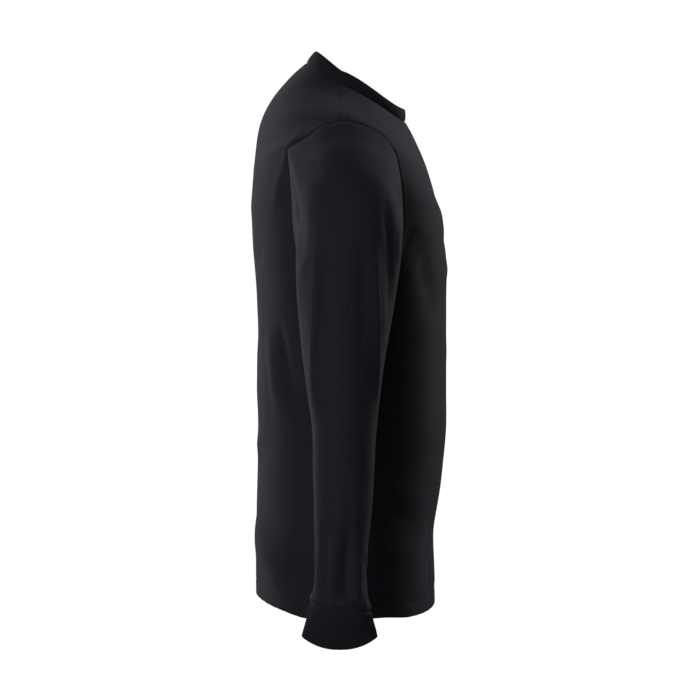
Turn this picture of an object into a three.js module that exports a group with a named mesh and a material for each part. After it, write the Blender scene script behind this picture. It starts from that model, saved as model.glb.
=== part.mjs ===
import * as THREE from "three";

// A long-sleeved base layer top, filled out as it is worn, with nobody in it.
// Millimetres, +Z up. The front faces -Y and the wearer's right arm is on -X.
// The origin lies midway between the two points where a shoulder seam meets the neckline.

// Cloth and seams
const bodyWall = 1.5;
const bandWall = 2.4;
const cuffWall = 2;
const seamGap = 0.3;
const clothColour = 0x1d1e22;
const ribColour = 0x17181c;

// Rows of numbers under named columns.
function table(columns, rows) {
  const names = columns.split(" ");
  return rows.map((row) => Object.fromEntries(names.map((name, k) => [name, row[k]])));
}

// Body, from the hem up: where each ring crosses the middle of the front, the side and
// the middle of the back. A low round makes a ring squarer, and dip says how fast it
// leaves the height of its side.
const bodyRows = table("level frontY frontZ sideX sideY sideZ backY backZ round dip", [
  [0, -121, -678, 203, 0, -678, 119, -674, 0.86, 2],
  [11, -118, -590, 201, 0, -590, 119, -590, 0.86, 2],
  [20, -129, -519, 197, -2, -519, 118, -519, 0.86, 2],
  [30, -136, -438, 194, -4, -438, 116, -438, 0.86, 2],
  [40, -136, -354, 195, -3, -354, 116, -354, 0.84, 2],
  [50, -136, -274, 198, 0, -270, 118, -274, 0.82, 1.8],
  [63, -134, -194, 210, 0, -164, 124, -188, 0.84, 1.5],
  [70, -128, -158, 221, 1, -106, 125, -141, 0.87, 1.4],
  [74, -121, -135, 217.5, 2, -69, 123.5, -108, 0.905, 1.5],
  [76, -118, -124, 206, 2, -57.5, 122, -92, 0.92, 1.6],
  [82, -110, -98, 186, 3, -44.5, 116, -47, 0.94, 1.25],
  [88, -101, -75, 150, 4, -30, 101, -12, 0.94, 1.15],
  [94, -91, -53, 112, 5, -14, 78, 18, 0.94, 1.1],
  [100, -81, -35, 79, 5, 5, 52, 43, 0.92, 1.05],
]);
const underarmLevel = 50;
const shoulderLevel = 76;
const neckLevel = 100;

// How far the hem and the neckline lie above their rings, by the angle from the middle of the front.
const hemRows = table("turn lift", [
  [0, 0],
  [50, -4],
  [70, -1],
  [105, -3],
  [132, 4],
  [162, 8],
  [180, 6],
]);
const neckRows = table("turn lift", [
  [0, 0],
  [35, -5],
  [60, -3],
  [90, 0],
  [180, 0],
]);
const hemReach = 8;
const neckReach = 14;

// How far an armhole cuts in from the side, in degrees, by the angle round it from the
// shoulder to the underarm.
const armholeRows = table("angle frontCut backCut", [
  [0, 0, 0],
  [3, 3.2, 0.4],
  [7, 9, 1.2],
  [10, 13.2, 2.3],
  [14, 18.6, 5.5],
  [19, 23.4, 10],
  [26, 26.9, 14],
  [32, 28.8, 17.5],
  [34, 29.3, 21],
  [36, 29.8, 27],
  [37.5, 30.1, 32.5],
  [43, 30.4, 32],
  [56, 30.5, 30.2],
  [76, 30, 28.7],
  [100, 29, 28],
  [140, 22, 21],
  [180, 0, 0],
]);

// Largest folds of the body: a ridge, or a valley where height is negative. Turns are
// degrees from the front, from the low end to the high end, and grow towards +X.
const bodyFolds = table("low lowTurn high highTurn width height", [
  [32, -121, 46, -134, 7, -3],
  [30, -131, 45, -146, 9, 2.5],
  [2, -128, 17, -158, 10, 3],
  [34, 124, 47, 136, 7, -3],
  [31, 134, 44, 149, 9, 2.5],
  [3, 131, 19, 155, 10, 3],
  [44, -34, 62, -53, 9, -3],
  [46, 31, 63, 52, 9, -3],
  [2, -44, 20, -36, 9, 3],
  [1, 38, 17, 33, 9, 3],
]);

// Sleeve, from the armhole down: the outer and inner ends of each ring, and its front and back.
const sleeveRows = table("drop outerX outerZ innerX innerZ frontY backY round slant", [
  [0, 206, -57.5, 198, -270, -73, 73, 0.85, 0],
  [30, 234, -76, 201, -277, -73, 69, 0.88, 0],
  [60, 265, -96, 204, -284, -72, 64, 0.92, 0],
  [100, 291, -127, 207, -293, -71, 60, 0.95, 0],
  [150, 303, -175, 210, -307, -68, 59, 0.96, 0],
  [200, 308, -225, 214, -327, -63, 58, 0.96, 0],
  [250, 311, -275, 219, -351, -57, 55, 0.96, 0],
  [300, 313, -325, 226, -382, -50, 51, 0.96, 0],
  [350, 315, -375, 234, -420, -44, 45, 0.96, 0],
  [400, 317, -425, 241, -461, -39, 39, 0.96, 0],
  [450, 318, -475, 247, -503, -36, 38, 0.96, 0],
  [500, 320, -525, 254, -547, -33, 36, 0.96, 0],
  [550, 321, -575, 262, -592, -28, 34, 0.95, 1],
  [590, 322, -615, 268, -627, -26, 35, 0.93, 3],
  [625, 322, -652, 272, -650, -32, 40, 0.9, 5],
]);
const sleeveLength = 625;
const capBlend = 150;

// Cuff, from its seam to its open end, laid out as the sleeve's rows are.
const cuffRows = table("drop outerX outerZ innerX innerZ frontY backY round slant", [
  [0, 322, -652, 272, -650, -32, 40, 0.9, 5],
  [16, 320, -667, 276, -665, -35, 44, 0.9, 3],
  [34, 315, -685, 280, -681, -38, 48, 0.9, 1],
  [50, 310, -702, 283, -696, -40, 51, 0.88, 0],
]);
const cuffLength = 50;
const cuffArch = 12;

// Largest folds of a sleeve, by the angle round it: 0 is outermost, 90 the front and -90 the back.
const sleeveFolds = table("low lowTurn high highTurn width height", [
  [130, -25, 400, -62, 15, 3],
  [60, -72, 190, -60, 14, -4],
  [110, 52, 270, 54, 13, -3],
  [180, 38, 350, 74, 12, 3],
  [510, -38, 622, -32, 14, -3],
  [520, 14, 622, 4, 14, -3],
  [300, 150, 420, 205, 22, -3],
]);

// Neck band: how far it rises, leans in and bulges, by the angle from the middle of the front.
const bandRows = table("turn rise lean bulge", [
  [0, 17, 0, 1],
  [45, 17, 3, 1],
  [75, 19, 7, 1],
  [105, 19, 9, 1],
  [180, 15, 12, 1],
]);
const neckCentreY = -14;

// Grid sizes
const panelColumns = 24;
const bodySteps = 13;
const armholeSteps = 17;
const shoulderSteps = 8;
const sleeveSteps = 26;
const cuffSteps = 4;
const bandSteps = 3;

const quarterTurn = Math.PI / 2;
const steepest = 2.5;
const shoulderEase = 1.3;
const armholeEase = 1.5;
const turnStep = 0.02;
const levelStep = 0.4;
const dropStep = 0.5;

function slopeBefore(rows, key, column, k) {
  return (rows[k][column] - rows[k - 1][column]) / (rows[k][key] - rows[k - 1][key]);
}

// The slope of a column at a row, kept from overshooting where it turns.
function slopeAt(rows, key, column, k) {
  if (k === 0) {
    return slopeBefore(rows, key, column, 1);
  }
  if (k === rows.length - 1) {
    return slopeBefore(rows, key, column, k);
  }
  const before = slopeBefore(rows, key, column, k);
  const after = slopeBefore(rows, key, column, k + 1);
  if (before * after <= 0) {
    return 0;
  }
  const spanBefore = rows[k][key] - rows[k - 1][key];
  const spanAfter = rows[k + 1][key] - rows[k][key];
  const slope = (before * spanAfter + after * spanBefore) / (spanBefore + spanAfter);
  const limit = steepest * Math.min(Math.abs(before), Math.abs(after));
  return THREE.MathUtils.clamp(slope, -limit, limit);
}

// A row of a table at any place between its rows.
function rowAt(rows, key, place) {
  let k = 0;
  while (k < rows.length - 2 && place > rows[k + 1][key]) {
    k += 1;
  }
  const span = rows[k + 1][key] - rows[k][key];
  const t = THREE.MathUtils.clamp((place - rows[k][key]) / span, 0, 1);
  const ease = t * t * (3 - 2 * t);
  const row = {};
  for (const column of Object.keys(rows[k])) {
    const start = rows[k][column];
    const end = rows[k + 1][column];
    const leave = slopeAt(rows, key, column, k) * span * t * (1 - t) * (1 - t);
    const arrive = slopeAt(rows, key, column, k + 1) * span * t * t * (1 - t);
    row[column] = start + (end - start) * ease + leave - arrive;
  }
  return row;
}

function signedPower(value, power) {
  return Math.sign(value) * Math.pow(Math.abs(value), power);
}

// The outside of a surface at a place, from two short steps on each side of it.
function normalAt(surface, u, v, stepU, stepV) {
  const alongU = surface(u + stepU, v).sub(surface(u - stepU, v));
  const alongV = surface(u, v + stepV).sub(surface(u, v - stepV));
  return alongU.cross(alongV).normalize();
}

// Degrees between -180 and 180.
function wrapped(turn) {
  return THREE.MathUtils.euclideanModulo(THREE.MathUtils.radToDeg(turn) + 180, 360) - 180;
}

// How far the folds of a table stand out at a place.
function foldHeight(folds, turn, place) {
  let height = 0;
  for (const fold of folds) {
    const t = (place - fold.low) / (fold.high - fold.low);
    if (t > 0 && t < 1) {
      const middle = THREE.MathUtils.degToRad(THREE.MathUtils.lerp(fold.lowTurn, fold.highTurn, t));
      const away = wrapped(turn - middle) / fold.width;
      height += fold.height * Math.sin(Math.PI * t) * Math.exp(-away * away);
    }
  }
  return height;
}

// The hem's and neckline's own heights, which fade into the body.
function edgeLift(turn, level) {
  const degrees = Math.abs(wrapped(turn));
  const hemShare = Math.max(0, 1 - level / hemReach);
  const neckShare = Math.max(0, 1 - (neckLevel - level) / neckReach);
  const hemLift = rowAt(hemRows, "turn", degrees).lift * hemShare;
  return hemLift + rowAt(neckRows, "turn", degrees).lift * neckShare;
}

// A point of the body: turn is 0 at the middle of the front and grows towards +X.
function bodyPoint(turn, level) {
  const row = rowAt(bodyRows, "level", level);
  const side = Math.sin(turn);
  const deep = Math.cos(turn);
  const middleY = deep > 0 ? row.frontY : row.backY;
  const middleZ = deep > 0 ? row.frontZ : row.backZ;
  return new THREE.Vector3(
    row.sideX * signedPower(side, row.round),
    row.sideY + (middleY - row.sideY) * Math.pow(Math.abs(deep), row.round),
    row.sideZ + (middleZ - row.sideZ) * Math.pow(Math.abs(deep), row.dip) + edgeLift(turn, level)
  );
}

function bodyNormal(turn, level) {
  return normalAt(bodyPoint, turn, level, turnStep, levelStep);
}

// How far an armhole cuts in from the side of the body, as an angle.
function armholeCut(level, column) {
  const half = (shoulderLevel - underarmLevel) / 2;
  const along = (level - underarmLevel - half) / half;
  if (Math.abs(along) >= 1) {
    return 0;
  }
  const angle = THREE.MathUtils.radToDeg(Math.acos(along));
  return THREE.MathUtils.degToRad(rowAt(armholeRows, "angle", angle)[column]);
}

// Angles round an armhole, closest together at the shoulder: a step of 0 is the shoulder.
function armholeAngle(step) {
  return Math.PI * Math.sign(step) * Math.pow(Math.abs(step) / armholeSteps, armholeEase);
}

function armholeLevel(angle) {
  const half = (shoulderLevel - underarmLevel) / 2;
  return underarmLevel + half + half * Math.cos(angle);
}

function panelLevels() {
  const levels = [];
  for (let k = 0; k < bodySteps; k += 1) {
    levels.push(underarmLevel * k / bodySteps);
  }
  for (let k = armholeSteps; k > 0; k -= 1) {
    levels.push(armholeLevel(armholeAngle(k)));
  }
  for (let k = 0; k <= shoulderSteps; k += 1) {
    levels.push(THREE.MathUtils.lerp(shoulderLevel, neckLevel, Math.pow(k / shoulderSteps, shoulderEase)));
  }
  return levels;
}

// A closed wall from its outer and inner grids of points. A tube's rows join up round the back.
function wallGeometry(outer, inner, isTube) {
  const rows = outer.length;
  const columns = outer[0].length;
  const positions = [];
  for (const grid of [outer, inner]) {
    for (const row of grid) {
      for (const point of row) {
        positions.push(point.x, point.y, point.z);
      }
    }
  }
  const index = [];
  const at = (grid, row, column) => (grid * rows + row) * columns + column % columns;
  const addFace = (a, b, c, d) => index.push(a, b, c, a, c, d);
  const lastColumn = isTube ? columns : columns - 1;
  for (let r = 0; r < rows - 1; r += 1) {
    for (let c = 0; c < lastColumn; c += 1) {
      addFace(at(0, r, c), at(0, r, c + 1), at(0, r + 1, c + 1), at(0, r + 1, c));
      addFace(at(1, r, c), at(1, r + 1, c), at(1, r + 1, c + 1), at(1, r, c + 1));
    }
  }
  for (let c = 0; c < lastColumn; c += 1) {
    addFace(at(0, 0, c), at(1, 0, c), at(1, 0, c + 1), at(0, 0, c + 1));
    addFace(at(0, rows - 1, c), at(0, rows - 1, c + 1), at(1, rows - 1, c + 1), at(1, rows - 1, c));
  }
  if (!isTube) {
    const end = lastColumn;
    for (let r = 0; r < rows - 1; r += 1) {
      addFace(at(0, r, 0), at(0, r + 1, 0), at(1, r + 1, 0), at(1, r, 0));
      addFace(at(0, r, end), at(1, r, end), at(1, r + 1, end), at(0, r + 1, end));
    }
  }
  const geometry = new THREE.BufferGeometry();
  geometry.setAttribute("position", new THREE.Float32BufferAttribute(positions, 3));
  geometry.setIndex(index);
  return geometry;
}

// A mirrored wall has its faces turned over, so that they still point out.
function turnFaces(geometry) {
  const index = geometry.getIndex().array;
  for (let k = 0; k < index.length; k += 3) {
    [index[k + 1], index[k + 2]] = [index[k + 2], index[k + 1]];
  }
  return geometry;
}

function piece(name, geometry, colour) {
  geometry.computeVertexNormals();
  const material = new THREE.MeshStandardMaterial({ color: colour, roughness: 0.85, metalness: 0 });
  const mesh = new THREE.Mesh(geometry, material);
  mesh.name = name;
  return mesh;
}

// Front or back of the body, from one side seam, armhole and shoulder seam to the other.
function panel(name, middleTurn, cutColumn) {
  const outer = [];
  const inner = [];
  const forward = -Math.cos(middleTurn);
  for (const level of panelLevels()) {
    const reach = quarterTurn - armholeCut(level, cutColumn);
    const outerRow = [];
    const innerRow = [];
    for (let c = 0; c <= panelColumns; c += 1) {
      const turn = middleTurn + reach * (2 * c / panelColumns - 1);
      const point = bodyPoint(turn, level);
      const normal = bodyNormal(turn, level);
      point.addScaledVector(normal, foldHeight(bodyFolds, turn, level));
      if (c === 0 || c === panelColumns) {
        point.y += forward * seamGap / 2;
      }
      outerRow.push(point);
      innerRow.push(point.clone().addScaledVector(normal, -bodyWall));
    }
    outer.push(outerRow);
    inner.push(innerRow);
  }
  return piece(name, wallGeometry(outer, inner, false), clothColour);
}

// The seam of an armhole: angle 0 is the shoulder, a quarter turn the front, half a turn the underarm.
function armholePoint(angle) {
  const level = armholeLevel(angle);
  const isFront = Math.sin(angle) >= 0;
  const cut = armholeCut(level, isFront ? "frontCut" : "backCut");
  return bodyPoint(isFront ? quarterTurn - cut : quarterTurn + cut, level);
}

// A ring of a sleeve or cuff on the +X side, from a row of its table.
function ringPoint(row, angle) {
  const along = signedPower(Math.cos(angle), row.round);
  const across = signedPower(Math.sin(angle), row.round);
  return new THREE.Vector3(
    (row.outerX + row.innerX) / 2 + (row.outerX - row.innerX) / 2 * along,
    (row.frontY + row.backY) / 2 + (row.frontY - row.backY) / 2 * across,
    (row.outerZ + row.innerZ) / 2 + (row.outerZ - row.innerZ) / 2 * along - row.slant * across
  );
}

// A point of the sleeve: its top ring is the armhole's seam, and the rings below leave it smoothly.
function sleevePoint(angle, drop) {
  const point = ringPoint(rowAt(sleeveRows, "drop", drop), angle);
  if (drop < capBlend) {
    const stray = armholePoint(angle).sub(ringPoint(sleeveRows[0], angle));
    const keep = 1 - THREE.MathUtils.smoothstep(drop, 0, capBlend);
    point.addScaledVector(stray, keep);
  }
  return point;
}

// A point of the cuff, whose open end arches up at its front and back.
function cuffPoint(angle, drop) {
  const point = ringPoint(rowAt(cuffRows, "drop", drop), angle);
  const toEnd = drop / cuffLength;
  point.z += cuffArch * toEnd * toEnd * Math.pow(Math.sin(angle), 2);
  return point;
}

// A tube of rings on one side of the body; side is 1 for the wearer's left and -1 for the right.
function armTube(name, side, surface, drops, folds, wall, trimRim, colour) {
  const around = 2 * armholeSteps;
  const outer = [];
  const inner = [];
  for (const drop of drops) {
    const outerRow = [];
    const innerRow = [];
    for (let c = 0; c < around; c += 1) {
      const angle = armholeAngle(c > armholeSteps ? c - around : c);
      const point = surface(angle, drop);
      const normal = normalAt(surface, angle, drop, turnStep, dropStep);
      point.addScaledVector(normal, foldHeight(folds, angle, drop));
      trimRim(normal, drop);
      normal.normalize();
      const inside = point.clone().addScaledVector(normal, -wall);
      point.x *= side;
      inside.x *= side;
      outerRow.push(point);
      innerRow.push(inside);
    }
    outer.push(outerRow);
    inner.push(innerRow);
  }
  const geometry = wallGeometry(outer, inner, true);
  return piece(name, side > 0 ? geometry : turnFaces(geometry), colour);
}

function sleeve(name, side) {
  const drops = [];
  for (let k = 0; k <= sleeveSteps; k += 1) {
    drops.push(sleeveLength * k / sleeveSteps);
  }
  const surface = (angle, drop) => {
    const point = sleevePoint(angle, drop);
    point.x += seamGap;
    return point;
  };
  const trimRim = (normal, drop) => {
    normal.x = drop === 0 ? Math.min(0, normal.x) : normal.x;
    normal.z = drop === sleeveLength ? 0 : normal.z;
  };
  return armTube(name, side, surface, drops, sleeveFolds, bodyWall, trimRim, clothColour);
}

function cuff(name, side) {
  const drops = [];
  for (let k = 0; k <= cuffSteps; k += 1) {
    drops.push(cuffLength * k / cuffSteps);
  }
  const surface = (angle, drop) => {
    const point = cuffPoint(angle, drop);
    point.z -= seamGap;
    point.x += seamGap;
    return point;
  };
  const trimRim = (normal, drop) => {
    normal.z = drop === 0 ? 0 : normal.z;
  };
  return armTube(name, side, surface, drops, [], cuffWall, trimRim, ribColour);
}

// Folded rib band that stands on the neckline.
function neckBand() {
  const outer = [];
  const inner = [];
  for (let r = 0; r <= bandSteps; r += 1) {
    const up = r / bandSteps;
    const outerRow = [];
    const innerRow = [];
    for (let c = 0; c < 2 * panelColumns; c += 1) {
      const turn = quarterTurn * (2 * c / panelColumns - 1);
      const row = rowAt(bandRows, "turn", Math.abs(wrapped(turn)));
      const point = bodyPoint(turn, neckLevel);
      const outward = new THREE.Vector3(point.x, point.y - neckCentreY, 0).normalize();
      const rise = seamGap + row.rise * up;
      const proud = row.bulge * Math.sin(Math.PI * up) - row.lean * up;
      point.addScaledVector(outward, proud);
      point.z += rise;
      outerRow.push(point);
      innerRow.push(point.clone().addScaledVector(outward, -bandWall));
    }
    outer.push(outerRow);
    inner.push(innerRow);
  }
  return piece("neck_band", wallGeometry(outer, inner, true), ribColour);
}

const top = new THREE.Group();
top.add(panel("front_panel", 0, "frontCut"));
top.add(panel("back_panel", Math.PI, "backCut"));
top.add(neckBand());
for (const [name, side] of [["right", -1], ["left", 1]]) {
  top.add(sleeve(`sleeve_${name}`, side));
  top.add(cuff(`cuff_${name}`, side));
}

export default top;
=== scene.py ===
import math

import bpy
import numpy as np
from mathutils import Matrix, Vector


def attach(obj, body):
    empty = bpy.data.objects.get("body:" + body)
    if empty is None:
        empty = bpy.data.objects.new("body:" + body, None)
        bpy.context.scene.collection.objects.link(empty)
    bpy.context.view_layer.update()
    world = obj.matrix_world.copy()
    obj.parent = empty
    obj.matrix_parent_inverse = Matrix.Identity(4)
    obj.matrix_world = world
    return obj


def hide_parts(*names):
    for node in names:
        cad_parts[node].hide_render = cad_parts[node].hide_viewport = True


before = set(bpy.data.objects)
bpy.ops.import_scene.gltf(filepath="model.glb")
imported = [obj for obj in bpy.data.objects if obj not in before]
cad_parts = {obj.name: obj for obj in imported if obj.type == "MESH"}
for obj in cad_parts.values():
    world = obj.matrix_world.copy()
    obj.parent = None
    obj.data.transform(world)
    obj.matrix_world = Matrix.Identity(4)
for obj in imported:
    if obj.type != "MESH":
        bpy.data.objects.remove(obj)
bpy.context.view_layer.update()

scene = bpy.context.scene
mm = 0.001
quarterTurn = math.pi / 2
print("frame loaded:", sorted(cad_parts))

# The top's form in millimetres. Its rows are those of its solids, but for a slightly steeper sleeve head.
# A curve runs through the rows, and its slope at a row is held down by the gentler of the two spans beside it.
def rowsOf(columns, rows):
    return {name: np.array([row[k] for row in rows], float) for k, name in enumerate(columns.split())}


steepest = 2.5


def slopesOf(x, y):
    slopes = np.diff(y) / np.diff(x)
    spans = np.diff(x)
    found = np.empty(len(y))
    found[0], found[-1] = slopes[0], slopes[-1]
    for k in range(1, len(y) - 1):
        before, after = slopes[k - 1], slopes[k]
        if before * after <= 0:
            found[k] = 0
            continue
        limit = steepest * min(abs(before), abs(after))
        mean = (before * spans[k - 1] + after * spans[k]) / (spans[k - 1] + spans[k])
        found[k] = np.clip(mean, -limit, limit)
    return found


def valueAt(rows, key, column, place):
    x, y = rows[key], rows[column]
    slopes = slopesOf(x, y)
    k = np.clip(np.searchsorted(x, place, side="left") - 1, 0, len(x) - 2)
    span = x[k + 1] - x[k]
    t = np.clip((place - x[k]) / span, 0, 1)
    ease = t * t * (3 - 2 * t)
    leave = slopes[k] * span * t * (1 - t) ** 2
    arrive = slopes[k + 1] * span * t * t * (1 - t)
    return y[k] + (y[k + 1] - y[k]) * ease + leave - arrive


def signedPower(value, power):
    return np.sign(value) * np.abs(value) ** power


def wrapped(turn):
    return (np.degrees(turn) + 180) % 360 - 180


def smooth(value):
    value = np.clip(value, 0, 1)
    return value * value * (3 - 2 * value)


bodyRows = rowsOf("level frontY frontZ sideX sideY sideZ backY backZ round dip", [
    [0, -121, -678, 203, 0, -678, 119, -674, 0.86, 2],
    [11, -118, -590, 201, 0, -590, 119, -590, 0.86, 2],
    [20, -129, -519, 197, -2, -519, 118, -519, 0.86, 2],
    [30, -136, -438, 194, -4, -438, 116, -438, 0.86, 2],
    [40, -136, -354, 195, -3, -354, 116, -354, 0.84, 2],
    [50, -136, -274, 198, 0, -270, 118, -274, 0.82, 1.8],
    [63, -134, -194, 210, 0, -164, 124, -188, 0.84, 1.5],
    [70, -128, -158, 221, 1, -106, 125, -141, 0.87, 1.4],
    [74, -121, -135, 217.5, 2, -69, 123.5, -108, 0.905, 1.5],
    [76, -118, -124, 206, 2, -57.5, 122, -92, 0.92, 1.6],
    [82, -110, -98, 186, 3, -44.5, 116, -47, 0.94, 1.25],
    [88, -101, -75, 150, 4, -30, 101, -12, 0.94, 1.15],
    [94, -91, -53, 112, 5, -14, 78, 18, 0.94, 1.1],
    [100, -81, -35, 79, 5, 5, 52, 43, 0.92, 1.05],
])
underarmLevel = 50
shoulderLevel = 76
neckLevel = 100
halfArmhole = (shoulderLevel - underarmLevel) / 2
hemRows = rowsOf("turn lift", [[0, 0], [50, -4], [70, -1], [105, -3], [132, 4], [162, 8], [180, 6]])
neckRows = rowsOf("turn lift", [[0, 0], [35, -5], [60, -3], [90, 0], [180, 0]])
hemReach = 8
neckReach = 14
armholeRows = rowsOf("angle frontCut backCut", [
    [0, 0, 0],
    [3, 3.2, 0.4],
    [7, 9, 1.2],
    [10, 13.2, 2.3],
    [14, 18.6, 5.5],
    [19, 23.4, 10],
    [26, 26.9, 14],
    [32, 28.8, 17.5],
    [34, 29.3, 21],
    [36, 29.8, 27],
    [37.5, 30.1, 32.5],
    [43, 30.4, 32],
    [56, 30.5, 30.2],
    [76, 30, 28.7],
    [100, 29, 28],
    [140, 22, 21],
    [180, 0, 0],
])
sleeveRows = rowsOf("drop outerX outerZ innerX innerZ frontY backY round slant", [
    [0, 206, -57.5, 198, -270, -73, 73, 0.85, 0],
    [30, 230, -77, 201, -277, -73, 69, 0.88, 0],
    [60, 259, -98.5, 204, -284, -72, 64, 0.92, 0],
    [100, 287, -130, 207, -293, -71, 60, 0.95, 0],
    [150, 302, -176, 210, -307, -68, 59, 0.96, 0],
    [200, 308, -225, 214, -327, -63, 58, 0.96, 0],
    [250, 311, -275, 219, -351, -57, 55, 0.96, 0],
    [300, 313, -325, 226, -382, -50, 51, 0.96, 0],
    [350, 315, -375, 234, -420, -44, 45, 0.96, 0],
    [400, 317, -425, 241, -461, -39, 39, 0.96, 0],
    [450, 318, -475, 247, -503, -36, 38, 0.96, 0],
    [500, 320, -525, 254, -547, -33, 36, 0.96, 0],
    [550, 321, -575, 262, -592, -28, 34, 0.95, 1],
    [590, 322, -615, 268, -627, -26, 35, 0.93, 3],
    [625, 322, -652, 272, -650, -32, 40, 0.9, 5],
])
sleeveLength = 625
capBlend = 150
cuffRows = rowsOf("drop outerX outerZ innerX innerZ frontY backY round slant", [
    [0, 322, -652, 272, -650, -32, 40, 0.9, 5],
    [16, 320, -667, 276, -665, -35, 44, 0.9, 3],
    [34, 315, -685, 280, -681, -38, 48, 0.9, 1],
    [50, 310, -702, 283, -696, -40, 51, 0.88, 0],
])
cuffLength = 50
cuffArch = 12
bandRows = rowsOf("turn rise lean bulge", [
    [0, 17, 0, 1],
    [45, 17, 3, 1],
    [75, 19, 7, 1],
    [105, 19, 9, 1],
    [180, 15, 12, 1],
])
neckCentreY = -14

# Large folds that the solids have too: ridges, and valleys where the height is negative.
largeBodyFolds = [
    [32, -121, 46, -134, 7, -3],
    [30, -131, 45, -146, 9, 2.5],
    [2, -128, 17, -158, 10, 3],
    [34, 124, 47, 136, 7, -3],
    [31, 134, 44, 149, 9, 2.5],
    [3, 131, 19, 155, 10, 3],
    [44, -34, 62, -53, 9, -3],
    [46, 31, 63, 52, 9, -3],
    [2, -44, 20, -36, 9, 3],
    [1, 38, 17, 33, 9, 3],
]
largeSleeveFolds = [
    [130, -25, 400, -62, 15, 3],
    [60, -72, 190, -60, 14, -4],
    [110, 52, 270, 54, 13, -3],
    [180, 38, 350, 74, 12, 3],
    [510, -38, 622, -32, 14, -3],
    [520, 14, 622, 4, 14, -3],
    [300, 150, 420, 205, 22, -3],
]


def largeFold(folds, turn, place):
    height = np.zeros(np.shape(turn))
    for low, lowTurn, high, highTurn, width, rise in folds:
        t = np.clip((place - low) / (high - low), 0, 1)
        middle = np.radians(lowTurn + (highTurn - lowTurn) * t)
        away = wrapped(turn - middle) / width
        height += rise * np.sin(math.pi * t) * np.exp(-away * away)
    return height


def bodyPoint(turn, level):  # turn is 0 at the middle of the front and grows towards +X
    turn, level = np.broadcast_arrays(np.asarray(turn, float), np.asarray(level, float))
    at = {name: valueAt(bodyRows, "level", name, level) for name in bodyRows}
    side, deep = np.sin(turn), np.cos(turn)
    middleY = np.where(deep > 0, at["frontY"], at["backY"])
    middleZ = np.where(deep > 0, at["frontZ"], at["backZ"])
    degrees = np.abs(wrapped(turn))
    lift = valueAt(hemRows, "turn", "lift", degrees) * np.clip(1 - level / hemReach, 0, None)
    lift += valueAt(neckRows, "turn", "lift", degrees) * np.clip(1 - (neckLevel - level) / neckReach, 0, None)
    return np.stack([
        at["sideX"] * signedPower(side, at["round"]),
        at["sideY"] + (middleY - at["sideY"]) * np.abs(deep) ** at["round"],
        at["sideZ"] + (middleZ - at["sideZ"]) * np.abs(deep) ** at["dip"] + lift,
    ], -1)


def armholeCut(level, column):
    along = np.clip((np.asarray(level, float) - underarmLevel - halfArmhole) / halfArmhole, -1, 1)
    cut = np.radians(valueAt(armholeRows, "angle", column, np.degrees(np.arccos(along))))
    return np.where(np.abs(along) < 1, cut, 0)


def armholeLevel(angle):
    return underarmLevel + halfArmhole + halfArmhole * np.cos(angle)


def armholePoint(angle):  # angle is 0 at the shoulder, a quarter turn at the front, half a turn at the underarm
    level = armholeLevel(angle)
    isFront = np.sin(angle) >= 0
    front = bodyPoint(quarterTurn - armholeCut(level, "frontCut"), level)
    back = bodyPoint(quarterTurn + armholeCut(level, "backCut"), level)
    return np.where(isFront[..., None], front, back)


def armholeNormal(angle):  # the body's own direction outwards at the armhole's seam
    level = armholeLevel(angle)
    isFront = np.sin(angle) >= 0
    cut = np.where(isFront, -armholeCut(level, "frontCut"), armholeCut(level, "backCut"))
    return normalAt(bodyPoint, quarterTurn + cut, level, bodySizes["normalSteps"])


def ringPoint(rows, angle, drop):  # a ring of the wearer's left sleeve or cuff
    at = {name: valueAt(rows, "drop", name, drop) for name in rows}
    along = signedPower(np.cos(angle), at["round"])
    across = signedPower(np.sin(angle), at["round"])
    return np.stack([
        (at["outerX"] + at["innerX"]) / 2 + (at["outerX"] - at["innerX"]) / 2 * along,
        (at["frontY"] + at["backY"]) / 2 + (at["frontY"] - at["backY"]) / 2 * across,
        (at["outerZ"] + at["innerZ"]) / 2 + (at["outerZ"] - at["innerZ"]) / 2 * along - at["slant"] * across,
    ], -1)


def sleevePoint(angle, drop):
    angle, drop = np.broadcast_arrays(np.asarray(angle, float), np.asarray(drop, float))
    stray = armholePoint(angle) - ringPoint(sleeveRows, angle, np.zeros(angle.shape))
    keep = 1 - smooth(drop / capBlend)
    return ringPoint(sleeveRows, angle, drop) + stray * keep[..., None]


def cuffPoint(angle, drop):
    angle, drop = np.broadcast_arrays(np.asarray(angle, float), np.asarray(drop, float))
    point = ringPoint(cuffRows, angle, drop)
    point[..., 2] += cuffArch * (drop / cuffLength) ** 2 * np.sin(angle) ** 2
    return point


def normalAt(surface, u, v, steps):
    stepU, stepV = steps
    alongU = surface(u + stepU, v) - surface(u - stepU, v)
    alongV = surface(u, v + stepV) - surface(u, v - stepV)
    normal = np.cross(alongU, alongV)
    return normal / np.linalg.norm(normal, axis=-1, keepdims=True)


# Creases: each track runs through (place, turn) points of its piece, and has its own width,
# height, lean towards its right side, and a fade at each end.
def crease(track, width, height, lean=0.0, fade=(0.35, 0.35), sharp=2.0):
    return {"track": track, "width": width, "height": height, "lean": lean, "fade": fade, "sharp": sharp}


trackSteps = 22
creaseReach = 3.2  # widths from its track at which a crease has died away


def creaseLine(surface, track):
    steps = np.arange(len(track), dtype=float)
    places, turns = np.array(track, float).T
    rows = {"step": steps, "place": places, "turn": np.unwrap(np.radians(turns))}
    along = np.linspace(0, len(track) - 1, trackSteps)
    if len(track) == 2:
        return surface(np.interp(along, steps, rows["turn"]), np.interp(along, steps, places))
    return surface(valueAt(rows, "step", "turn", along), valueAt(rows, "step", "place", along))


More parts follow.
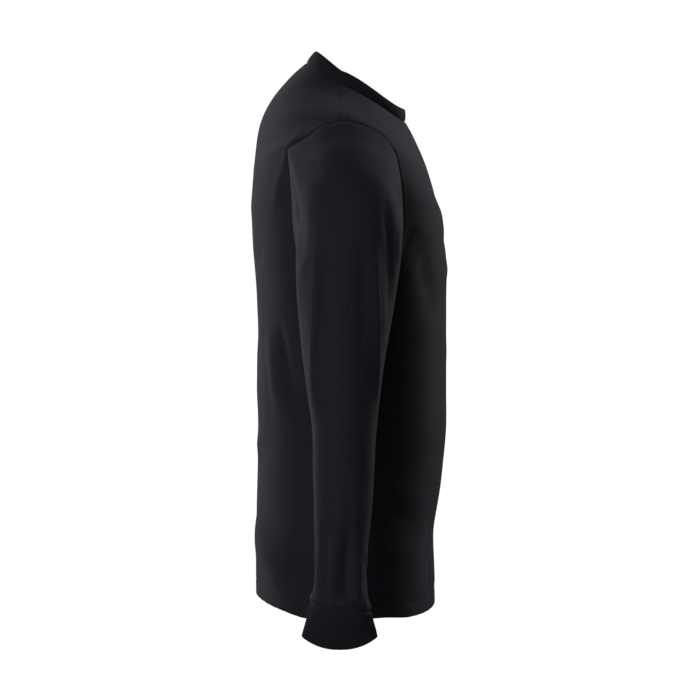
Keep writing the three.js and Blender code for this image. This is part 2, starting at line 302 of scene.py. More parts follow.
def nearestOn(points, line):  # distance to a line of points, the share along it, and the step away from it
    nearest = np.full(points.shape[:-1], np.inf)
    share = np.zeros(nearest.shape)
    step = np.zeros(points.shape)
    run = np.zeros(points.shape)
    for k in range(len(line) - 1):
        length = line[k + 1] - line[k]
        away = points - line[k]
        along = np.clip((away @ length) / (length @ length), 0, 1)
        gap = away - along[..., None] * length
        distance = (gap * gap).sum(-1)
        closer = distance < nearest
        nearest[closer] = distance[closer]
        share[closer] = (k + along[closer]) / (len(line) - 1)
        step[closer] = gap[closer]
        run[closer] = length
    return np.sqrt(nearest), share, step, run


def creaseLift(points, normals, surface, creases):
    lift = np.zeros(points.shape[:-1])
    for one in creases:
        line = creaseLine(surface, one["track"])
        reach = creaseReach * one["width"] * (1 + abs(one["lean"]))
        low, high = line.min(0) - reach, line.max(0) + reach
        near = ((points > low) & (points < high)).all(-1)
        distance, share, step, run = nearestOn(points[near], line)
        side = np.sign((np.cross(run, step) * normals[near]).sum(-1))
        width = one["width"] * (1 + one["lean"] * side)
        profile = np.exp(-(distance / width) ** one["sharp"])
        start, end = one["fade"]
        fade = (smooth(share / start) if start else 1) * (smooth((1 - share) / end) if end else 1)
        lift[near] += one["height"] * profile * fade
    return lift


# A sheet's places along one side: close together near the marks, such as seams, and wider apart between them.
def spread(low, high, widest, finest, marks, reach):
    places = [low]
    while places[-1] < high:
        near = min(abs(places[-1] - mark) for mark in marks)
        places.append(places[-1] + finest + (widest - finest) * min(1.0, near / reach))
    return low + (np.array(places) - low) * (high - low) / (places[-1] - low)


# Degrees round an armhole, from the shoulder to the underarm, that its panels and its sleeve have in common.
# They are closest together at the shoulder and at the corner in the back.
backCorner = 36
armholeAngles = spread(0, 180, 2.6, 0.45, (0, backCorner), 24)


smoothBelow = math.radians(50)


# A sheet of cloth from a grid of outside points. Its UV map is in metres, across and along the cloth.
# Doubled is each point's share of the full thickness.
def clothSheet(name, points, across, along, isTube, flip, doubled, thickness):
    rows, columns = points.shape[:2]
    faces, uvs = [], []
    lastColumn = columns if isTube else columns - 1
    acrossEnd = np.concatenate([across, (2 * across[:, -1:] - across[:, -2:-1])], 1) if isTube else across
    for r in range(rows - 1):
        for c in range(lastColumn):
            d = (c + 1) % columns
            corners = [(r, c, c), (r, d, c + 1), (r + 1, d, c + 1), (r + 1, c, c)]
            if flip:
                corners.reverse()
            faces.append([row * columns + column for row, column, place in corners])
            for row, column, place in corners:
                uvs.extend((acrossEnd[row, place], along[row, column]))
    mesh = bpy.data.meshes.new(name)
    mesh.from_pydata((points.reshape(-1, 3) * mm).tolist(), [], faces)
    layer = mesh.uv_layers.new(name="UVMap")
    layer.data.foreach_set("uv", np.array(uvs, dtype=np.float32) * mm)
    piece = bpy.data.objects.new(name, mesh)
    scene.collection.objects.link(piece)
    group = piece.vertex_groups.new(name="layers")
    weights = doubled.reshape(-1)
    for weight in np.unique(weights):
        group.add(np.where(weights == weight)[0].tolist(), float(weight), "REPLACE")
    bpy.ops.object.select_all(action="DESELECT")
    bpy.context.view_layer.objects.active = piece
    piece.select_set(True)
    wall = piece.modifiers.new("wall", "SOLIDIFY")
    wall.thickness = thickness * mm
    wall.offset = -1
    wall.use_even_offset = False
    wall.vertex_group = group.name
    wall.thickness_vertex_group = 0
    bpy.ops.object.modifier_apply(modifier=wall.name)
    bpy.ops.object.shade_smooth_by_angle(angle=smoothBelow)
    piece.select_set(False)
    return piece


# How far the cloth has to roll inwards near a free edge, and dips into a seam.
def rolled(distance, radius):
    t = np.clip(1 - distance / radius, 0, 1)
    return -radius * (1 - np.sqrt(np.clip(1 - t * t, 0, 1)))


def bell(distance, middle, width):
    return np.exp(-((distance - middle) / width) ** 2)


def seamDip(distance, depth, width):
    return -depth * bell(distance, 0, width)


def gridLength(points):  # millimetres along each row of a grid, from its first column
    steps = np.linalg.norm(np.diff(points, axis=1), axis=-1)
    return np.concatenate([np.zeros((points.shape[0], 1)), np.cumsum(steps, 1)], 1)


swellLengths = (210, 140, 95, 60)


def unevenness(points, height, seed):  # slow swells that keep a large area from looking pressed
    chance = np.random.default_rng(seed)
    swell = np.zeros(points.shape[:-1])
    for length in swellLengths:
        direction = chance.normal(size=3)
        direction /= np.linalg.norm(direction)
        waves = points @ direction * 2 * math.pi / length
        swell += np.sin(waves + chance.uniform(0, 6.28)) * length / swellLengths[0]
    return swell * height / 2


# Body
bodySizes = {
    "wall": 2.4,  # the hem's two layers, millimetres
    "singleLayer": 0.55,  # one layer's share of that
    "hemDepth": 19,
    "hemGroove": 0.45,
    "grooveWidth": 1.5,
    "seamDepth": 0.6,
    "seamWidth": 1.2,
    "seamRidge": 0.2,  # the rise over the cloth that is turned in, and its place and width
    "ridgePlace": 4.5,
    "ridgeWidth": 2.8,
    "neckRidge": 0.12,
    "edgeRoll": 0.9,
    "allowance": 4.5,  # cloth turned in behind each seam
    "calmSeam": 9,  # how far from a seam, the neck and the hem the folds reach their full height
    "calmNeck": 12,
    "calmHem": 30,
    "unevenness": 0.8,
    "stitchLevel": 2.4,
    "levelSteps": (0.5, 0.17),  # widest and finest, in levels
    "levelReach": 4,  # how far the fine steps reach from a mark
    "placeSteps": (0.0145, 0.005),  # the same in shares of half a panel's width
    "placeReach": 0.06,
    "normalSteps": (0.02, 0.4),
}
rightBodyCreases = [
    crease([(48, -134), (41, -130), (33, -122), (28, -112)], 8, -2.2, 0.3),
    crease([(47, -146), (39, -141), (31, -133)], 9, 1.4),
    crease([(44, -153), (34, -150), (22, -151)], 13, 1.5),
    crease([(6.5, -161), (4.8, -138), (2.9, -128), (2.6, -112)], 5, 1.1),
    crease([(12, -172), (11, -150), (10.5, -126), (11, -104)], 30, 5, fade=(0.2, 0.3)),
    crease([(16, -158), (30, -158), (42, -157), (54, -150)], 15, 1.4),
    crease([(28, -112), (36, -118), (46, -121)], 8, -1.4),
    crease([(50, -76), (56, -64), (64, -47)], 8, -1.1, 0.25),
    crease([(47, -68), (53, -56), (60, -40)], 10, 0.9),
    crease([(36, -84), (41, -66), (45, -44)], 11, -1.0),
    crease([(21, -80), (16, -62), (14, -40)], 7, -1.2),
    crease([(24, -78), (19, -58), (18, -36)], 9, 1.1),
    crease([(12, -84), (10, -62), (11, -38)], 16, 2.6),
    crease([(77, -112), (70, -127), (63, -136)], 9, 1.3),
    crease([(80, -60), (88, -66), (97, -70)], 8, 0.7),
]
leftBodyCreases = [
    crease([(46, 131), (40, 128), (31, 121)], 5, -2.0, -0.3),
    crease([(45, 139), (37, 134), (29, 127)], 6.5, 1.5),
    crease([(40, 152), (30, 148), (19, 150)], 8, 1.3),
    crease([(31, 140), (23, 137), (15, 141)], 7, -1.3),
    crease([(7, 158), (5, 142), (3, 126)], 5.5, 1.0),
    crease([(12, 170), (10, 148), (10, 124), (11, 106)], 25, 4.0, fade=(0.2, 0.3)),
    crease([(18, 155), (31, 156), (44, 154), (55, 148)], 14, 1.2),
    crease([(26, 108), (37, 116), (47, 119)], 8, -1.4),
    crease([(50, 74), (55, 62), (61, 46)], 6, -1.6, -0.25),
    crease([(48, 66), (53, 54), (58, 38)], 8, 1.4),
    crease([(37, 84), (43, 64), (49, 44)], 9, -1.5),
    crease([(33, 80), (38, 62), (44, 45)], 9, 1.2),
    crease([(23, 82), (18, 64), (15, 45)], 7, -1.2),
    crease([(26, 76), (22, 56), (20, 38)], 9, 1.0),
    crease([(11, 82), (9, 60), (11, 40)], 15, 2.4),
    crease([(76, 114), (69, 128), (61, 137)], 9, 1.2),
]
middleBodyCreases = [
    crease([(2, -14), (14, -11), (29, -15)], 10, 1.9, fade=(0.1, 0.5)),
    crease([(1, -26), (10, -24), (21, -27)], 8, -1.5, fade=(0.1, 0.5)),
    crease([(1, 12), (15, 15), (26, 12)], 9, -1.8, fade=(0.1, 0.5)),
    crease([(2, 25), (13, 27), (27, 24)], 9, 1.7, fade=(0.1, 0.5)),
    crease([(57, -34), (62, -12), (63, 8)], 10, -1.5),
    crease([(52, -30), (56, -8), (55, 20)], 11, 1.5),
    crease([(60, 34), (57, 16), (59, 2)], 9, -1.3),
    crease([(66, -24), (70, 2), (68, 25)], 13, 1.3),
    crease([(45, -8), (38, 3), (30, 6)], 12, 1.5),
    crease([(78, -24), (73, -10), (71, 4)], 8, -1.0),
    crease([(78, 22), (73, 12), (71, 1)], 8, -0.9),
    crease([(3, 176), (18, 172), (35, 177)], 11, 1.8, fade=(0.1, 0.5)),
    crease([(2, -170), (13, -167), (26, -171)], 10, -1.7, fade=(0.1, 0.5)),
    crease([(1, 163), (12, 160), (23, 164)], 9, -1.5, fade=(0.1, 0.5)),
    crease([(60, 140), (57, 156), (58, 176)], 10, -1.6),
    crease([(60, -142), (56, -158), (58, -176)], 10, -1.5),
    crease([(54, 146), (50, 164), (51, -176)], 11, 1.4),
    crease([(66, 146), (69, 168), (68, -164)], 13, 1.3),
    crease([(26, -148), (22, -164), (23, -178)], 9, -1.6),
    crease([(30, -150), (26, -166), (28, 178)], 10, 1.4),
    crease([(28, 146), (24, 160), (23, 174)], 9, -1.5),
    crease([(46, 176), (38, -176), (31, -174)], 12, 1.4),
    crease([(92, 168), (95, -178), (92, -166)], 7, -0.9),
]


def withAllowances(points, normals, doubled, depth):  # a strip turned in along both ends of the rows
    ends = []
    for end, inner in ((0, 2), (-1, -3)):
        towards = points[:, inner] - points[:, end]
        towards /= np.linalg.norm(towards, axis=-1, keepdims=True)
        ends.append((points[:, end] - depth * normals[:, end] + 0.5 * towards)[:, None])
    shares = np.concatenate([doubled[:, :1], doubled, doubled[:, -1:]], 1)
    return np.concatenate([ends[0], points, ends[1]], 1), shares


def bodyLevels():  # close together at the hem, its stitching and the neck, and in even steps along an armhole
    steps, reach = bodySizes["levelSteps"], bodySizes["levelReach"]
    low = spread(0, underarmLevel, *steps, (0, bodySizes["stitchLevel"], underarmLevel), reach)
    high = spread(shoulderLevel, neckLevel, *steps, (shoulderLevel, neckLevel), reach)
    return np.concatenate([low, armholeLevel(np.radians(armholeAngles[-2:0:-1])), high])


def bodyPanel(name, middleTurn, cutColumn):
    places = spread(-1, 1, *bodySizes["placeSteps"], (-1, 1), bodySizes["placeReach"])
    place, level = np.meshgrid(places, bodyLevels())
    turn = middleTurn + (quarterTurn - armholeCut(level, cutColumn)) * place
    points = bodyPoint(turn, level)
    normals = normalAt(bodyPoint, turn, level, bodySizes["normalSteps"])
    toSides = [nearestOn(points, points[::3, end])[0] for end in (0, -1)]
    toSeam = np.minimum(*toSides)
    toNeck = nearestOn(points, points[-1, ::4])[0]
    toHem = nearestOn(points, points[0, ::6])[0]
    calm = smooth(toSeam / bodySizes["calmSeam"]) * smooth(toNeck / bodySizes["calmNeck"])
    creases = rightBodyCreases + leftBodyCreases + middleBodyCreases
    lift = largeFold(largeBodyFolds, turn, level)
    lift += creaseLift(points, normals, bodyPoint, creases) * calm
    lift += unevenness(points, bodySizes["unevenness"], 4) * calm * smooth(toHem / bodySizes["calmHem"])
    for distance, ridge in ((toSeam, bodySizes["seamRidge"]), (toNeck, bodySizes["neckRidge"])):
        lift += seamDip(distance, bodySizes["seamDepth"], bodySizes["seamWidth"])
        lift += ridge * bell(distance, bodySizes["ridgePlace"], bodySizes["ridgeWidth"])
    groove = bell(toHem, bodySizes["hemDepth"], bodySizes["grooveWidth"])
    lift += rolled(toHem, bodySizes["edgeRoll"]) - bodySizes["hemGroove"] * groove
    points = points + normals * lift[..., None]
    doubled = np.where(toHem < bodySizes["hemDepth"], 1.0, bodySizes["singleLayer"])
    points, doubled = withAllowances(points, normals, doubled, bodySizes["allowance"])
    across = gridLength(points)
    across -= across[:, [across.shape[1] // 2]]
    along = gridLength(points.swapaxes(0, 1)).T
    return clothSheet(name, points, across, along, False, False, doubled, bodySizes["wall"])


# Sleeves
sleeveSizes = {
    "wall": 1.2,
    "seamDepth": 0.6,
    "seamWidth": 1.2,
    "allowance": 4.5,
    "calmSeam": 10,
    "calmCuff": 4,
    "unevenness": 0.7,
    "cuffDip": 1.4,  # the seam at the cuff, and its width
    "cuffDipWidth": 1.6,
    "cuffRise": 1.4,  # the fullness just above the cuff, and its place and width
    "risePlace": 7,
    "riseWidth": 6,
    "gather": 0.28,
    "gatherPlace": 6,
    "gatherWidth": 7,
    "dropSteps": (3.6, 0.9),  # widest and finest
    "dropReach": 14,
    "normalSteps": (0.02, 0.5),
    "seamTurn": 7,  # how far from the armhole the sleeve's direction outwards still turns towards the body's
}
rightSleeveCreases = [
    crease([(110, -27), (212, -33), (268, -36), (328, -48), (388, -69)], 5.5, 2.8, 0.25),
    crease([(26, -38), (50, -44), (80, -50)], 6, 1.3),
    crease([(30, -52), (50, -59), (76, -66), (100, -73)], 6, -1.9),
    crease([(52, -66), (74, -71), (96, -74)], 2.6, -1.3),
    crease([(30, 52), (46, 60), (58, 72)], 4, -1.6, 0.2),
    crease([(96, 36), (136, 46), (166, 57), (216, 66), (262, 68)], 7.5, -2.8, -0.2),
    crease([(92, 66), (137, 74), (178, 84)], 4, 1.4),
    crease([(150, 31), (241, 40), (330, 60), (400, 84)], 6, 2.8, 0.2),
    crease([(186, 18), (270, 22), (360, 34)], 7, -1.3),
    crease([(258, 3), (270, 6), (286, 6)], 3, -0.8, 0.4),
    crease([(150, 4), (258, 2), (377, -4)], 12, 1.0),
    crease([(230, -16), (310, -19), (390, -26)], 7, -1.1),
    crease([(430, 24), (500, 30), (560, 34)], 7, 1.3),
    crease([(506, -50), (562, -46), (617, -40)], 7, -2.2, 0.2, fade=(0.5, 0.12)),
    crease([(526, -24), (570, -21), (617, -18)], 6, 2.0, fade=(0.5, 0.15)),
    crease([(512, 12), (566, 15), (617, 14)], 8, -2.8, fade=(0.5, 0.12)),
    crease([(530, 44), (576, 46), (617, 42)], 6, 1.9, fade=(0.5, 0.15)),
    crease([(550, 54), (562, 74), (572, 98)], 4, 1.4),
    crease([(574, 106), (594, 88), (614, 74)], 4, 1.3),
    crease([(608, -43), (624, -36)], 2.4, -1.4, fade=(0.5, 0)),
    crease([(480, -92), (540, -90), (606, -72)], 5, 1.4),
    crease([(60, 140), (150, 165), (300, 190)], 9, -2.4),
    crease([(40, -118), (120, -128), (220, -150)], 8, -2.3),
    crease([(90, -135), (180, -160), (290, -172)], 8, 1.9),
    crease([(60, -100), (130, -112), (210, -124)], 7, 1.7),
    crease([(300, -120), (360, -140), (410, -170)], 7, -1.8),
    crease([(330, -108), (390, -124), (440, -150)], 8, 1.6),
    crease([(360, 150), (430, 168), (500, 170)], 7, 1.6),
    crease([(320, 130), (380, 150), (430, 176)], 7, -1.7),
    crease([(538, 150), (580, 158), (616, 166)], 5, -1.9, fade=(0.5, 0.15)),
    crease([(544, 120), (580, 122), (616, 124)], 5, -1.7, fade=(0.5, 0.15)),
    crease([(548, -128), (585, -134), (618, -132)], 5, -1.8, fade=(0.5, 0.15)),
    crease([(4, 165), (30, 160), (66, 150)], 6, -1.8, fade=(0.1, 0.5)),
    crease([(4, -166), (34, -160), (72, -150)], 6, -1.8, fade=(0.1, 0.5)),
]
leftSleeveCreases = [
    crease([(120, -30), (200, -34), (275, -40), (350, -58)], 5.5, 1.4, 0.2),
    crease([(28, -40), (52, -45), (84, -53)], 6, 1.2),
    crease([(38, -52), (60, -60), (86, -66), (112, -76)], 6, -2.1),
    crease([(98, 38), (140, 47), (176, 56), (226, 66)], 6.5, -2.1, -0.2),
    crease([(96, 67), (140, 76), (170, 85)], 4, 1.3),
    crease([(160, 34), (250, 44), (336, 62), (390, 80)], 6, 1.8, 0.2),
    crease([(196, 20), (280, 24), (350, 32)], 7, -1.3),
    crease([(240, 8), (262, 4), (290, 2)], 4, -0.9, 0.3),
    crease([(160, 8), (270, 0), (385, -8)], 12, 0.9),
    crease([(420, 28), (500, 32), (570, 36)], 7, 1.2),
    crease([(530, -36), (575, -35), (620, -32)], 4.5, 1.8, fade=(0.5, 0.15)),
    crease([(522, -20), (566, -17), (617, -14)], 7, -2.4, 0.2, fade=(0.5, 0.12)),
    crease([(530, 2), (584, 3), (617, 4)], 6, 1.9, fade=(0.5, 0.15)),
    crease([(520, 20), (575, 23), (617, 22)], 8, -2.6, fade=(0.5, 0.12)),
    crease([(556, 44), (566, 66), (578, 90)], 4, 1.4),
    crease([(580, 102), (598, 84), (615, 74)], 4.5, -1.2),
    crease([(470, -95), (530, -92), (600, -78)], 5, 1.3),
    crease([(66, 142), (160, 168), (310, 188)], 9, -2.2),
    crease([(44, -116), (130, -130), (235, -152)], 8, -2.2),
    crease([(64, -98), (134, -110), (204, -122)], 7, 1.6),
    crease([(310, -118), (365, -138), (420, -166)], 7, -1.7),
    crease([(340, -104), (396, -124), (448, -146)], 8, 1.6),
    crease([(350, 155), (420, 170), (490, 176)], 7, 1.6),
    crease([(316, 132), (372, 150), (424, 172)], 7, -1.7),
    crease([(542, 148), (585, 156), (616, 160)], 5, -1.8, fade=(0.5, 0.15)),
    crease([(550, -122), (590, -130), (618, -136)], 5, -1.7, fade=(0.5, 0.15)),
    crease([(4, 165), (34, 158), (70, 148)], 6, -1.7, fade=(0.1, 0.5)),
    crease([(4, -166), (30, -162), (68, -152)], 6, -1.7, fade=(0.1, 0.5)),
]


# Small uneven gathers where a sleeve is eased into its cuff: waves all round, their share and their start.
gatherWaves = [(19, 1, 0.7), (31, 0.6, 2.1), (11, 0.5, 4.4)]


def gatherLift(angle, toCuff):
    wave = sum(share * np.sin(count * angle + start) for count, share, start in gatherWaves)
    return sleeveSizes["gather"] * wave * bell(toCuff, sleeveSizes["gatherPlace"], sleeveSizes["gatherWidth"])


def withTurnedRows(points, normals, drop, depth):  # a strip turned in behind the first and the last row
    first = points[:1] - depth * normals[:1] + 0.5 * (points[2:3] - points[:1])
    last = points[-1:] - 0.6 * depth * normals[-1:]
    drops = np.concatenate([drop[:1] - depth, drop, drop[-1:] + depth])
    return np.concatenate([first, points, last]), drops


def sleevePiece(name, side, creases):
    drops = spread(0, sleeveLength, *sleeveSizes["dropSteps"], (0, sleeveLength), sleeveSizes["dropReach"])
    angles = np.radians(np.concatenate([-armholeAngles[:0:-1], armholeAngles[:-1]]))
    angle, drop = np.meshgrid(angles, drops)
    points = sleevePoint(angle, drop)
    normals = normalAt(sleevePoint, angle, drop, sleeveSizes["normalSteps"])
    keep = (1 - smooth(drop / sleeveSizes["seamTurn"]))[..., None]
    normals = normals * (1 - keep) + armholeNormal(angles)[None] * keep
    normals /= np.linalg.norm(normals, axis=-1, keepdims=True)
    toSeam = nearestOn(points, np.concatenate([points[0, ::3], points[0, :1]]))[0]
    toCuff = sleeveLength - drop
    calm = smooth(toSeam / sleeveSizes["calmSeam"]) * smooth(toCuff / sleeveSizes["calmCuff"])
    lift = largeFold(largeSleeveFolds, angle, drop)
    lift += creaseLift(points, normals, sleevePoint, creases) * calm
    lift += unevenness(points, sleeveSizes["unevenness"], 9 + side) * calm
    lift += seamDip(toSeam, sleeveSizes["seamDepth"], sleeveSizes["seamWidth"])
    lift += seamDip(toCuff, sleeveSizes["cuffDip"], sleeveSizes["cuffDipWidth"])
    lift += sleeveSizes["cuffRise"] * bell(toCuff, sleeveSizes["risePlace"], sleeveSizes["riseWidth"])
    lift += gatherLift(angle, toCuff)
    points = points + normals * lift[..., None]
    points, drop = withTurnedRows(points, normals, drop, sleeveSizes["allowance"])
    points[..., 0] *= side
    doubled = np.ones(drop.shape)
    return clothSheet(name, points, gridLength(points), drop, True, side < 0, doubled, sleeveSizes["wall"])


# Ribbed cuffs
columnsPerRib = 6
ribRelief = 0.16
cuffSizes = {
    "wall": 2.0,
    "ribs": 88,
    "endRoll": 1.0,
    "seamDepth": 1.0,
    "seamWidth": 1.5,
    "rise": 0.5,  # the fullness just below the seam, and its place and width
    "risePlace": 5,
    "riseWidth": 4,
    "ovalWave": 0.35,  # how far the cuff strays from its even form: twice and three times round
    "thirdWave": 0.3,
    "strayReach": 20,
    "ribStart": 3,  # how far from the seam and from the open end the ribs reach their full relief
    "ribEnd": 2,
    "dropSteps": (3.2, 0.5),
    "dropReach": 5,
    "normalSteps": (0.02, 0.5),
}


def cuffPiece(name, side):
    count = cuffSizes["ribs"] * columnsPerRib
    drops = spread(0, cuffLength, *cuffSizes["dropSteps"], (0, cuffLength), cuffSizes["dropReach"])
    angles = np.arange(count) * 2 * math.pi / count
    angle, drop = np.meshgrid(angles, drops)
    points = cuffPoint(angle, drop)
    normals = normalAt(cuffPoint, angle, drop, cuffSizes["normalSteps"])
    toEnd = cuffLength - drop
    ribShare = smooth(drop / cuffSizes["ribStart"]) * smooth(toEnd / cuffSizes["ribEnd"])
    lift = ribRelief * np.cos(cuffSizes["ribs"] * angle) * ribShare
    lift += seamDip(drop, cuffSizes["seamDepth"], cuffSizes["seamWidth"]) + rolled(toEnd, cuffSizes["endRoll"])
    lift += cuffSizes["rise"] * bell(drop, cuffSizes["risePlace"], cuffSizes["riseWidth"])
    stray = cuffSizes["ovalWave"] * np.sin(2 * angle + side) + cuffSizes["thirdWave"] * np.sin(3 * angle + 1.3)
    lift += stray * smooth(drop / cuffSizes["strayReach"])
    points = points + normals * lift[..., None]
    points[..., 0] *= side
    across = angle * cuffSizes["ribs"] / (2 * math.pi)
    return clothSheet(name, points, across, drop, True, side < 0, np.ones(drop.shape), cuffSizes["wall"])


# Ribbed neck band
bandSizes = {
    "wall": 2.2,
    "ribs": 190,
    "endRoll": 1.0,
    "seamDepth": 0.9,
    "seamWidth": 1.5,
    "tuck": 1.6,  # how far the band reaches down behind the neckline's seam
    "tuckHeight": 1.5,
    "ribEnd": 2,
    "shareSteps": (0.11, 0.035),  # widest and finest, in shares of the band's height
    "shareReach": 0.25,
}


def neckBandPiece(name):
    count = bandSizes["ribs"] * columnsPerRib
    shares = spread(0, 1, *bandSizes["shareSteps"], (0, 1), bandSizes["shareReach"])
    turns = np.arange(count) * 2 * math.pi / count - quarterTurn
    turn, up = np.meshgrid(turns, shares)
    row = {key: valueAt(bandRows, "turn", key, np.abs(wrapped(turn))) for key in ("rise", "lean", "bulge")}
    points = bodyPoint(turn, neckLevel)
    outward = points - np.array([0, neckCentreY, 0])
    outward[..., 2] = 0
    outward /= np.linalg.norm(outward, axis=-1, keepdims=True)
    height = row["rise"] * up
    toTop = row["rise"] - height
    proud = row["bulge"] * np.sin(math.pi * up) - row["lean"] * up
    ribShare = smooth(height / bandSizes["ribEnd"]) * smooth(toTop / bandSizes["ribEnd"])
    proud += ribRelief * np.cos(bandSizes["ribs"] * turn) * ribShare
    proud += seamDip(height, bandSizes["seamDepth"], bandSizes["seamWidth"])
    proud += rolled(toTop, bandSizes["endRoll"])
    points = points + outward * proud[..., None]
    points[..., 2] += height - bandSizes["tuck"] * smooth(1 - height / bandSizes["tuckHeight"])
    across = (turn + quarterTurn) * bandSizes["ribs"] / (2 * math.pi)
    return clothSheet(name, points, across, height, True, False, np.ones(turn.shape), bandSizes["wall"])


pieces = {
    "front_panel": bodyPanel("front_panel_cloth", 0.0, "frontCut"),
    "back_panel": bodyPanel("back_panel_cloth", math.pi, "backCut"),
}
print("body panels made")
pieces["sleeve_right"] = sleevePiece("sleeve_right_cloth", -1, rightSleeveCreases)
pieces["sleeve_left"] = sleevePiece("sleeve_left_cloth", 1, leftSleeveCreases)
print("sleeves made")
pieces["cuff_right"] = cuffPiece("cuff_right_rib", -1)
pieces["cuff_left"] = cuffPiece("cuff_left_rib", 1)
pieces["neck_band"] = neckBandPiece("neck_band_rib")
print("cuffs and neck band made")
for node, piece in pieces.items():
    triangles = sum(len(face.vertices) - 2 for face in piece.data.polygons)
    print(node, "has", triangles, "triangles")


# Materials
class Wire:  # an output socket that takes part in sums
    def __init__(self, recipe, socket):
        self.recipe = recipe
        self.socket = socket

    def __add__(self, other):
        return self.recipe.maths("ADD", self, other)

    def __radd__(self, other):
        return self.recipe.maths("ADD", other, self)

    def __sub__(self, other):
        return self.recipe.maths("SUBTRACT", self, other)

    def __rsub__(self, other):
        return self.recipe.maths("SUBTRACT", other, self)

    def __mul__(self, other):
        return self.recipe.maths("MULTIPLY", self, other)

    def __rmul__(self, other):
        return self.recipe.maths("MULTIPLY", other, self)

    def __truediv__(self, other):
        return self.recipe.maths("DIVIDE", self, other)


class Recipe:  # one material and its nodes
    def __init__(self, name):
        self.material = bpy.data.materials.new(name)
        self.material.use_nodes = True
        self.tree = self.material.node_tree
        self.tree.nodes.clear()

    def node(self, kind, settings=None, inputs=None, output=0):
        made = self.tree.nodes.new("ShaderNode" + kind)
        for name, value in (settings or {}).items():
            setattr(made, name, value)
        for name, value in (inputs or {}).items():
            if isinstance(value, Wire):
                self.tree.links.new(value.socket, made.inputs[name])
            else:
                made.inputs[name].default_value = value
        return Wire(self, made.outputs[output]) if len(made.outputs) else None

    def maths(self, operation, first, second=0.0, clamp=False):
        return self.node("Math", {"operation": operation, "use_clamp": clamp}, {0: first, 1: second})

    def between(self, low, high, value):  # 0 below low, 1 above high
        return self.maths("MULTIPLY", (value - low) / (high - low), 1.0, True)

    def clothPlaces(self):  # places across and along the cloth
        uv = self.node("UVMap", {"uv_map": "UVMap"})
        return [self.node("SeparateXYZ", None, {"Vector": uv}, axis) for axis in (0, 1)]

    def mixColour(self, share, first, second):
        return self.node("Mix", {"data_type": "RGBA"}, {0: share, 6: first, 7: second}, 2)


clothLook = {
    "dark": (0.0066, 0.0074, 0.0102, 1),
    "light": (0.0104, 0.0114, 0.0150, 1),
    "roughness": 0.78,
    "specular": 0.3,
    "sheen": 0.10,
    "sheenRoughness": 0.45,
    "walePitch": 0.0011,  # metres between the knit's columns
    "coursePitch": 0.0009,
}
# The rib's tones are set darker than the jersey's: painted shade for the darker look of the cuffs.
ribLookPaintedDarker = {
    "dark": (0.0044, 0.0050, 0.0071, 1),
    "light": (0.0070, 0.0079, 0.0108, 1),
    "roughness": 0.84,
    "specular": 0.3,
    "sheen": 0.08,
    "sheenRoughness": 0.5,
    "coursePitch": 0.0010,
}
specularTint = (0.8, 0.88, 1, 1)
sheenTint = (0.72, 0.8, 1, 1)
bumpDepth = 0.0002
fibreScale = 420.0
cloudScale = 9.0
stitchRows = (0.0175, 0.0215)  # metres above the hem's edge
stitchLength = 0.0032
threadEdge = (0.00035, 0.0007)  # metres from the middle of a stitch over which its thread fades out
stitchGap = (0.12, 0.2)  # shares of a stitch's length over which its end fades in


def finishMaterial(recipe, look, paintedGrooveShadeAndStitches, height):
    place = recipe.node("TexCoord", None, None, "Object")
    fibre = recipe.node("TexNoise", None, {"Vector": place, "Scale": fibreScale, "Detail": 2.0}, 0)
    cloud = recipe.node("TexNoise", None, {"Vector": place, "Scale": cloudScale, "Detail": 3.0}, 0)
    # Painted shade in the knit's grooves, the lighter stitches, and random fibre and cloud tone pick between
    # the dark and the light tone.
    share = recipe.maths("ADD", paintedGrooveShadeAndStitches + fibre * 0.35 + cloud * 0.5, -0.35, True)
    colour = recipe.mixColour(share, look["dark"], look["light"])
    roughness = look["roughness"] + 0.1 * (fibre - 0.5) + 0.08 * (cloud - 0.5)
    bumpInputs = {"Strength": 0.6, "Distance": bumpDepth, "Height": height + fibre * 0.3}
    bump = recipe.node("Bump", None, bumpInputs)
    shader = recipe.node("BsdfPrincipled", None, {
        "Base Color": colour,
        "Roughness": roughness,
        "Normal": bump,
        "Specular IOR Level": look["specular"],
        "Specular Tint": specularTint,
        "Sheen Weight": look["sheen"],
        "Sheen Roughness": look["sheenRoughness"],
        "Sheen Tint": sheenTint,
    })
    recipe.node("OutputMaterial", None, {"Surface": shader})
    return recipe.material


def clothMaterial(name, rows):  # rows are the heights of the rows of stitches along the hem
    recipe = Recipe(name)
    across, along = recipe.clothPlaces()
    wale = recipe.maths("FRACT", across / clothLook["walePitch"])
    leaning = recipe.maths("ABSOLUTE", wale - 0.5)
    column = 1 - 2 * leaning
    loops = recipe.maths("SINE", (along / clothLook["coursePitch"] + leaning * 1.4) * (2 * math.pi))
    # The knit's columns are painted lighter and the grooves between them darker: painted shade in the grooves.
    paintedGrooveShadeAndStitches = column * 0.18
    height = column * 0.6 + loops * 0.25
    for row in rows:
        line = 1 - recipe.between(*threadEdge, recipe.maths("ABSOLUTE", along - row))
        dash = recipe.maths("FRACT", across / stitchLength)
        stitch = line * recipe.between(*stitchGap, dash) * recipe.between(*stitchGap, 1 - dash)
        paintedGrooveShadeAndStitches = paintedGrooveShadeAndStitches + stitch * 0.5
        height = height + stitch * 2.0
    return finishMaterial(recipe, clothLook, paintedGrooveShadeAndStitches, height)


def ribMaterial():
    recipe = Recipe("black rib knit")
    ribs, along = recipe.clothPlaces()
    crest = recipe.maths("COSINE", ribs * (2 * math.pi / mm)) * 0.5 + 0.5
    loops = recipe.maths("SINE", along * (2 * math.pi / ribLookPaintedDarker["coursePitch"]))
    # The rib's crests are painted lighter and the grooves between them darker: painted shade in the grooves.
    return finishMaterial(recipe, ribLookPaintedDarker, crest * 0.35, crest * 0.6 + loops * 0.25)


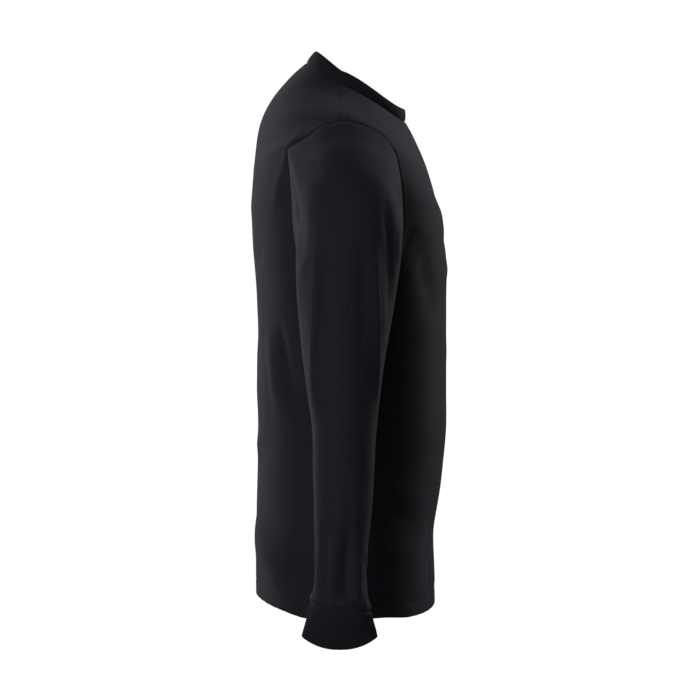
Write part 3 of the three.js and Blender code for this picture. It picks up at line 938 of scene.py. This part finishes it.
materials = {
    "cloth": clothMaterial("black jersey", ()),
    "hem": clothMaterial("black jersey with a stitched hem", stitchRows),
    "rib": ribMaterial(),
}
# The material and the record's slot of each piece.
finishes = {
    "front_panel": ("hem", "cloth"),
    "back_panel": ("hem", "cloth"),
    "sleeve_right": ("cloth", "cloth"),
    "sleeve_left": ("cloth", "cloth"),
    "cuff_right": ("rib", "rib"),
    "cuff_left": ("rib", "rib"),
    "neck_band": ("rib", "rib"),
}
# Each piece takes its material and hangs from the root, and its solid is hidden.
for node, piece in pieces.items():
    look, recordSlot = finishes[node]
    piece.data.materials.clear()
    piece.data.materials.append(materials[look])
    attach(piece, "root")
    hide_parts(node)
print("materials and frame calls done")


# Stage, light and camera
stageSizes = {
    "cameraPlace": (-2.700, -0.007, -0.343),
    "lens": 102.857,
    "sensorWidth": 36,
    "floorHeight": -1.25,
    "floorSide": 60,
    "whiteness": 1.05,  # of the backdrop and of the floor's glow, which don't light the cloth
}
# Soft square lamps, all facing the middle of the top: place and watts.
lampSide = 1.3
lampTarget = (0, 0, -0.33)
lamps = {
    "far back light": ((1.5, 1.8, 1.0), 16),
    "low far back light": ((1.6, 1.9, -0.4), 8),
    "far front light": ((1.4, -1.7, 1.0), 14),
    "low far front light": ((1.5, -1.9, -0.3), 6),
    "side light": ((-2.2, 1.6, 0.0), 16),
    "low side light": ((-2.2, 1.6, -0.8), 16),
    "fill light": ((-2.6, 0.5, 1.2), 14),
    "front fill light": ((-2.4, -1.7, 0.1), 6),
}


def softLamp(name, place, power):
    lamp = bpy.data.lights.new(name, "AREA")
    lamp.size = lampSide
    lamp.energy = power
    holder = bpy.data.objects.new(name, lamp)
    scene.collection.objects.link(holder)
    holder.location = place
    facing = (holder.location - Vector(lampTarget)).to_track_quat("Z", "Y")
    holder.rotation_euler = facing.to_euler()


bpy.ops.object.select_all(action="DESELECT")
bpy.ops.mesh.primitive_plane_add(size=stageSizes["floorSide"], location=(0, 0, stageSizes["floorHeight"]))
floor = bpy.context.object
floor.name = "floor"
floorRecipe = Recipe("pale floor")
floorShader = floorRecipe.node("BsdfPrincipled", None, {
    "Base Color": (0.9, 0.9, 0.9, 1),
    "Roughness": 0.9,
    "Emission Color": (1, 1, 1, 1),
    "Emission Strength": stageSizes["whiteness"],
})
floorRecipe.node("OutputMaterial", None, {"Surface": floorShader})
floor.data.materials.append(floorRecipe.material)
floor.visible_diffuse = False
floor.visible_glossy = False

world = bpy.data.worlds.new("studio")
scene.world = world
world.use_nodes = True
sky = world.node_tree.nodes["Background"]
sky.inputs["Color"].default_value = (1, 1, 1, 1)
sky.inputs["Strength"].default_value = stageSizes["whiteness"]
world.cycles_visibility.diffuse = False
world.cycles_visibility.glossy = False
scene.view_settings.view_transform = "Standard"
for name, (place, power) in lamps.items():
    softLamp(name, place, power)

cameraData = bpy.data.cameras.new("camera")
camera = bpy.data.objects.new("camera", cameraData)
scene.collection.objects.link(camera)
camera.location = stageSizes["cameraPlace"]
camera.rotation_euler = (math.radians(90), 0, math.radians(-90))
cameraData.lens = stageSizes["lens"]
cameraData.sensor_width = stageSizes["sensorWidth"]
scene.camera = camera

print("stage, light and camera done")
